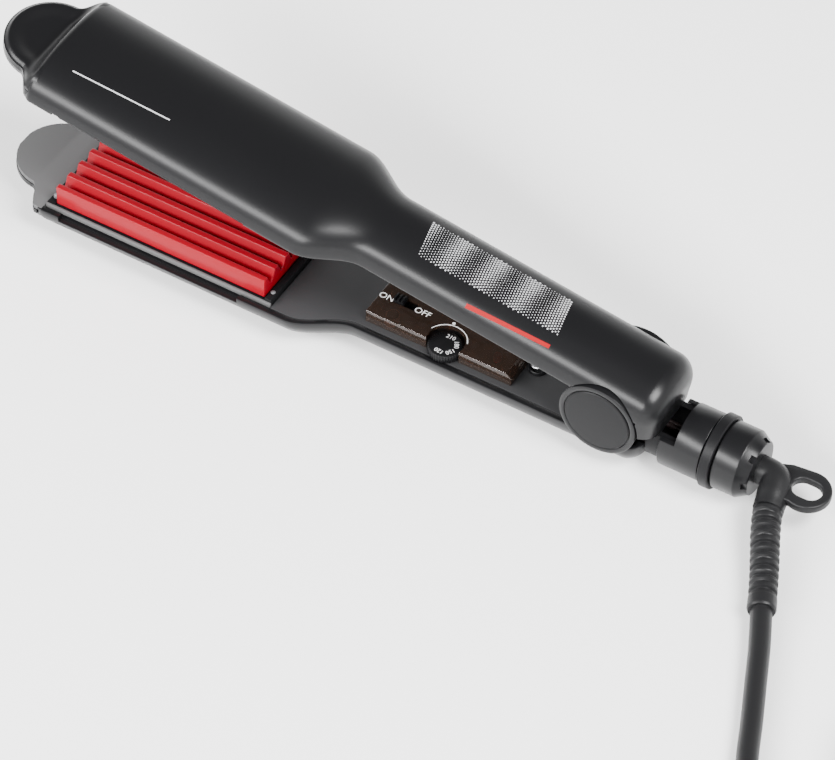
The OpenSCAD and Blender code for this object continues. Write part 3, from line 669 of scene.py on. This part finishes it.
sleeve_profile = [(20.7, 10.5)] + arc((21.1, 11.8), 0.4, 180, 90, 4) + arc((35.5, 11.8), 0.4, 90, 0, 4)
sleeve_profile += [(35.9, 10.5), (20.7, 10.5)]
sleeve = lathe("sleeve_skin", sleeve_profile, "x", AXIS, SATIN, "sleeve", n=128, nodes=("lock_sleeve",),
               slot="satin_black")
cut(sleeve, block("c9", (19, -20, -2.7), (26.3, 20, 20), BLACK, None, 0))
chamfer(sleeve, 0.2, 2, 60)

collar_profile = [(40.45, 10.4), (40.45, 11.7)] + arc((41.0, 11.6), 0.5, 180, 90, 4)
collar_profile += arc((48.8, 11.3), 0.8, 90, 45, 4) + [(52.6, 9.9)] + arc((52.7, 9.3), 0.6, 45, 0, 3)
collar_profile += [(53.3, 5.2), (50.6, 5.2), (50.6, 10.4), (40.45, 10.4)]
collar = lathe("collar_skin", collar_profile, "x", AXIS, SATIN, "base", n=128, nodes=("swivel_collar",),
               slot="satin_black")
notches = []
for k in range(6):
    a = math.radians(30 + 60 * k)
    b = block("n%d" % k, (51.4, -1.3, -1.2), (54.5, 1.3, 1.2), BLACK, None, 0)
    b.data.transform(Matrix.Translation(Vector(row(AXIS))) @ Matrix.Rotation(a, 4, "X") @
                     Matrix.Translation(Vector((0, 0, 10.6 * mm))) @
                     Matrix.Translation(-Vector(row((0, 0, 0)))))
    notches.append(b)
cut(collar, *notches)

# elbow, loop and strain relief
BEND_AT = Vector((60.3, 0, AXIS_Z))
LEAN = math.radians(12)
OUT = Vector((math.sin(LEAN), -math.cos(LEAN) * math.cos(LEAN), -math.cos(LEAN) * math.sin(LEAN))).normalized()
stem = [Vector((x, 0, AXIS_Z)) for x in (52.0, 53.4, 55.5)]
bend = [BEND_AT + Vector((-4.8, 0, 0)) * (1 - t) ** 2 + OUT * 4.8 * t ** 2 for t in np.linspace(0, 1, 9)]
tube("elbow_skin", resample(stem + bend + [BEND_AT + OUT * 13.0], 0.8),
     lambda s: 5.08 + 0.45 * smooth((s - 0.2) / 0.3) - 0.25 * smooth((s - 0.7) / 0.2), RUBBER, "swivel", 40,
     nodes=("cord_elbow",), slot="cord_black")


def loop_tab():
    """Flat hanging loop with a long slot, rooted on the elbow."""
    cx, cy, r, slot_r, slot_half = 71.1, -0.8, 8.4, 4.1, 1.2
    outer = [(cx + r * math.cos(t), cy + r * math.sin(t))
             for t in np.linspace(-math.radians(110), math.radians(100), 40)]
    outer += [(62.5, 6.6), (58.5, 4.9), (57.2, 0.0), (59.0, -6.0), (62.5, -8.8)]
    o = prism("loop_skin", outer, -9.7, -6.5, RUBBER, "swivel", 0, slot="cord_black")
    hole = [(cx + sign * (slot_half + slot_r * math.cos(t)), cy + sign * slot_r * math.sin(t))
            for sign in (1, -1) for t in np.linspace(-math.pi / 2, math.pi / 2, 20)]
    cut(o, prism("c10", hole, -12, -4, BLACK, None, 0))
    chamfer(o, 0.7, 3, 50)


loop_tab()

# The relief and the cord are in the row frame's own millimetres.
relief_points = [(157.35, -12.4, 10.7), (158.8, -16.2, 9.9), (161.6, -22.2, 8.7), (165.2, -29.2, 7.5),
                 (168.6, -36.1, 6.6), (171.8, -43, 5.9), (174, -48, 5.6)]
relief_line = spline(relief_points, 0.35)
RELIEF_L = sum((b - a).length for a, b in zip(relief_line, relief_line[1:]))
RIB_STEP, END_COLLAR = 3.05, 4.8


def relief_radius(s):
    """Ribbed sleeve, a plain collar at its end."""
    d = s * RELIEF_L
    if d > RELIEF_L - END_COLLAR:
        return 4.9 - 0.35 * smooth((d - RELIEF_L + 0.8) / 0.8)
    base = 5.0 - 0.35 * s
    phase = (d / RIB_STEP) % 1.0
    rib = smooth(phase / 0.16) * (1 - smooth((phase - 0.58) / 0.16))
    return base - 0.75 + 0.85 * rib


tube("relief_skin", [p * mm for p in relief_line], lambda s: relief_radius(s) * mm, RUBBER, "swivel", 36,
     raw=True, nodes=("strain_relief",), slot="cord_black")

# ---------- cord ----------

CORD_D = 7.3
COIL_R, COLUMN_STEP, FIRST_Z = 40, 7.4, 5.1
COIL_AT = Vector((284, -78, 0))
TURN_SEATS = [(c, layer) for layer, cols in enumerate(((1, 0, -1), (-1, 0, 1), (1, 0, -1), (0,)))
              for c in cols]
lead = [(174.3, -48.6, 5.55), (180.2, -61, 4.7), (186.2, -75, 4.2), (192.2, -89, 3.9), (198, -103, 3.9),
        (204.5, -115, 3.9), (214.5, -124, 3.9), (228, -129, 3.9)]


def coil_line():
    """Turns wound in columns and layers with short eased steps, then a quarter turn down outside."""
    seats = [(COIL_R + COLUMN_STEP * c, FIRST_Z + CORD_D * layer) for c, layer in TURN_SEATS]
    pts = []
    steps = 72

    def at(r, z, turn):
        t = 2 * math.pi * turn - math.pi / 2
        return COIL_AT + Vector((r * math.cos(t), r * math.sin(t), z))

    for k, (r, z) in enumerate(seats):
        nr, nz = seats[min(k + 1, len(seats) - 1)]
        for i in range(steps):
            w = smooth((i / steps - 0.8) / 0.2)
            pts.append(at(r + (nr - r) * w, z + (nz - z) * w, i / steps))
    r, z = seats[-1]
    for i in range(37):
        share = i / 36
        pts.append(at(r + 15.2 * smooth(share / 0.45), z + (8 - z) * smooth((share - 0.3) / 0.7),
                      share / 4))
    return pts


approach = [(243, -130.2, 4.2), (258, -128.2, 4.7), (271, -126.2, 5.1)]
tail = [(339.2, -72, 7.4), (339.2, -62, 7.1), (339.2, -52, 7.05), (339.2, -43, 7.05), (339.2, -36, 7.05)]
cord_line = spline(relief_points[:-1] + lead + approach + coil_line()[2::4] + tail, 2.4)
cord_path = [p * mm for p in cord_line]
cord = tube("mains_cord", cord_path, CORD_D / 2 * mm, RUBBER, "base", 16, raw=True,
            nodes=("cord_lead", "cord_coil", "cord_tail"), slot="cord_black")


def tie_band():
    """Flat band around the coil, a loop with six rounded corners."""
    corners = [(11.8, 0.9), (11.8, 22.6), (4.6, 31.4), (-4.6, 31.4), (-11.8, 22.6), (-11.8, 0.9)]
    half_width, half_thick, corner_l = 4, 0.45, 1.5
    loop = []
    for k, c in enumerate(corners):
        c = Vector(c)
        a, b = (c + (Vector(corners[(k + d) % 6]) - c).normalized() * corner_l for d in (-1, 1))
        loop += [a * (1 - t) ** 2 + c * (2 * t * (1 - t)) + b * t ** 2 for t in (0, 0.25, 0.5, 0.75, 1)]
    n = len(loop)
    verts = []
    for i, p in enumerate(loop):
        d = (loop[(i + 1) % n] - loop[i - 1]).normalized()
        verts += [tuple(Vector((COIL_AT.x - COIL_R + p.x + d.y * q, COIL_AT.y + w, p.y - d.x * q)) * mm)
                  for w, q in ((-half_width, -half_thick), (-half_width, half_thick),
                               (half_width, half_thick), (half_width, -half_thick))]
    faces = [(i * 4 + j, i * 4 + (j + 1) % 4, ((i + 1) % n) * 4 + (j + 1) % 4, ((i + 1) % n) * 4 + j)
             for i in range(n) for j in range(4)]
    return build("cord_tie_band", verts, faces, BLACK, "base", raw=True, nodes=("cord_tie",),
                 slot="cord_black")


tie_obj = tie_band()

# plug
PX, PY, PZ = 339.2 - HINGE[0], -43, 7.05 - HINGE[2]


def plug():
    """Plug body with rounded sides, given by its half width and half thickness along its length."""
    rings = []
    for y, half, thick in ((0, 12.5, 5.6), (0.5, 13.3, 6.3), (1.8, 14.0, 6.7), (6, 15.6, 6.85),
                           (12, 16.1, 6.85), (30, 16.15, 6.85), (34.6, 16.1, 6.8), (35.6, 15.8, 6.4),
                           (36.0, 15.3, 5.9)):
        ring = []
        flat = half - thick
        for k in range(48):
            t = 2 * math.pi * k / 48
            ring.append((PX + (flat if math.cos(t) > 0 else -flat) + thick * math.cos(t), PY + y,
                         PZ + thick * math.sin(t)))
        rings.append(ring)
    return loft("plug_skin", rings, RUBBER, "base", nodes=("plug_body",), slot="cord_black", sharp=40)


plug_obj = plug()
pin_profile = [(34, 0), (34, 2.0), (53.2, 2.0), (54.3, 1.7), (55.1, 1.1), (55.4, 0)]
pin_sleeve = [(35.9, 0), (35.9, 2.05), (45.0, 2.05), (45.3, 1.9), (45.3, 0)]
for k, x in enumerate((-9.3, 9.3)):
    lathe("plug_pin_%d" % k, pin_profile, "y", (PX + x, PY, PZ), NICKEL, "base", n=32,
                      nodes=("plug_pins",) if k == 0 else (), slot="nickel")
    lathe("plug_sleeve_%d" % k, pin_sleeve, "y", (PX + x, PY, PZ), RUBBER, "base", n=32,
                      slot="cord_black")

# ---------- print on the upper arm ----------

def print_dots():
    """A fading strip of fine dots along the handle."""
    along, across = 58, 15
    verts, faces = [], []
    for i in range(along):
        for j in range(across):
            u, v = (i + 0.5) / along, (j + 0.5 * (i % 2)) / across
            wave = 0.5 + 0.5 * math.cos(2 * math.pi * 4 * u + 2.0 * v)
            r = 0.17 + 0.24 * wave * (1 - 0.45 * v)
            x, y = -80 + 55 * u + 3.2 * (v - 0.5), 6.8 - 15.5 * v
            base = len(verts)
            for k in range(8):
                a = 2 * math.pi * k / 8
                px, py = x + r * math.cos(a), y + r * math.sin(a)
                verts.append((px, py, crown_z(px, py) + 0.03))
            faces.append(tuple(range(base, base + 8)))
    build("dot_strip", verts, faces, DOTS, "upper_arm", upper=True, slot="satin_black")


def ribbon(name, x0, x1, y0, y1, width, mat):
    """A thin printed line that follows the crown."""
    n, lift = 60, 0.12
    verts = []
    for i in range(n + 1):
        x = x0 + (x1 - x0) * i / n
        for y in (y0 + (y1 - y0) * i / n + s * width / 2 for s in (-1, 1)):
            verts.append((x, y, crown_z(x, y) + lift))
    faces = [(2 * i, 2 * i + 2, 2 * i + 3, 2 * i + 1) for i in range(n)]
    build(name, verts, faces, mat, "upper_arm", upper=True, slot="satin_black")


print_dots()
ribbon("red_line", -55.5, -24, -14.0, -12.6, 1.1, RED_INK)
ribbon("head_line", -213.0, -175, -14.2, -12.2, 0.5, DOTS)

# ---------- hidden pieces keep their CAD shape, with better finishes ----------
FINISH = {"lower_heater": CERAMIC, "upper_heater": CERAMIC, "lower_heater_clip": STEEL,
          "upper_heater_clip": STEEL, "thermal_fuse": CERAMIC, "temperature_sensor": CERAMIC,
          "lower_screws": STEEL, "upper_screws": STEEL, "lower_lead_wires": WIRE, "upper_lead_wires": WIRE,
          "hinge_pin": STEEL, "hinge_bushes": BRASS, "brush_block": BLACK, "swivel_spindle": BLACK,
          "slip_rings": BRASS}
for o in bpy.data.objects:
    if o.name in FINISH and o.type == "MESH":
        for slot in o.material_slots:
            slot.material = FINISH[o.name]

# ---------- camera, floor and light ----------

def camera():
    """Long lens from the tool's near side, tilted down, with a slight roll."""
    az, el, roll = (math.radians(angle) for angle in (29.18, 47.445, 2.114))
    aim, slide, rise, distance = Vector((-110, 0, 0)), 26.84, -39.99, 1500
    back = Vector((math.sin(az) * math.cos(el), -math.cos(az) * math.cos(el), math.sin(el)))
    level = Vector((math.cos(az), math.sin(az), 0))
    above = back.cross(level)
    right = level * math.cos(roll) + above * math.sin(roll)
    up = above * math.cos(roll) - level * math.sin(roll)
    data = bpy.data.cameras.new("camera")
    data.lens = 189.4
    data.sensor_width = 36
    data.clip_start, data.clip_end = 0.05, 50
    o = bpy.data.objects.new("camera", data)
    bpy.context.collection.objects.link(o)
    pose = Matrix((right, up, back)).transposed().to_4x4()
    pose.translation = Vector(row(aim + right * slide + up * rise + back * distance))
    o.matrix_world = pose
    bpy.context.scene.camera = o


def pale_floor(half):
    me = bpy.data.meshes.new("floor")
    corners = [(-half, -half, 0), (half, -half, 0), (half, half, 0), (-half, half, 0)]
    me.from_pydata(corners, [], [(0, 1, 2, 3)])
    floor = bpy.data.objects.new("floor", me)
    bpy.context.collection.objects.link(floor)
    me.materials.append(material("floor_white", (0.9, 0.9, 0.9), 0.8, spec=0.1))


def studio():
    """White surroundings, bright at the horizon and dim overhead."""
    world = bpy.data.worlds.new("studio")
    bpy.context.scene.world = world
    world.use_nodes = True
    nt = world.node_tree
    coord = nt.nodes.new("ShaderNodeTexCoord")
    split = nt.nodes.new("ShaderNodeSeparateXYZ")
    fade = nt.nodes.new("ShaderNodeMapRange")
    fade.interpolation_type = "SMOOTHSTEP"
    for name, value in (("From Min", 0.30), ("From Max", 0.62), ("To Min", 2.0), ("To Max", 0.10)):
        fade.inputs[name].default_value = value
    nt.links.new(coord.outputs["Generated"], split.inputs["Vector"])
    nt.links.new(split.outputs["Z"], fade.inputs["Value"])
    nt.links.new(fade.outputs["Result"], nt.nodes["Background"].inputs["Strength"])
    nt.nodes["Background"].inputs["Color"].default_value = (1, 1, 1, 1)


def soft_light(name, at, aim, size, power):
    d = bpy.data.lights.new(name, "AREA")
    d.shape = "RECTANGLE"
    d.size, d.size_y = size
    d.energy = power
    o = bpy.data.objects.new(name, d)
    bpy.context.collection.objects.link(o)
    turn = (Vector(at) - Vector(aim)).to_track_quat("Z", "Y")
    o.matrix_world = Matrix.Translation(Vector(at)) @ turn.to_matrix().to_4x4()


camera()
pale_floor(4)
studio()
soft_light("key", (-0.5, -1.2, 0.9), (0, 0, 0), (2.4, 0.4), 100)
soft_light("top", (1.3, -0.2, 1.7), (0, 0, 0), (1.0, 1.0), 120)
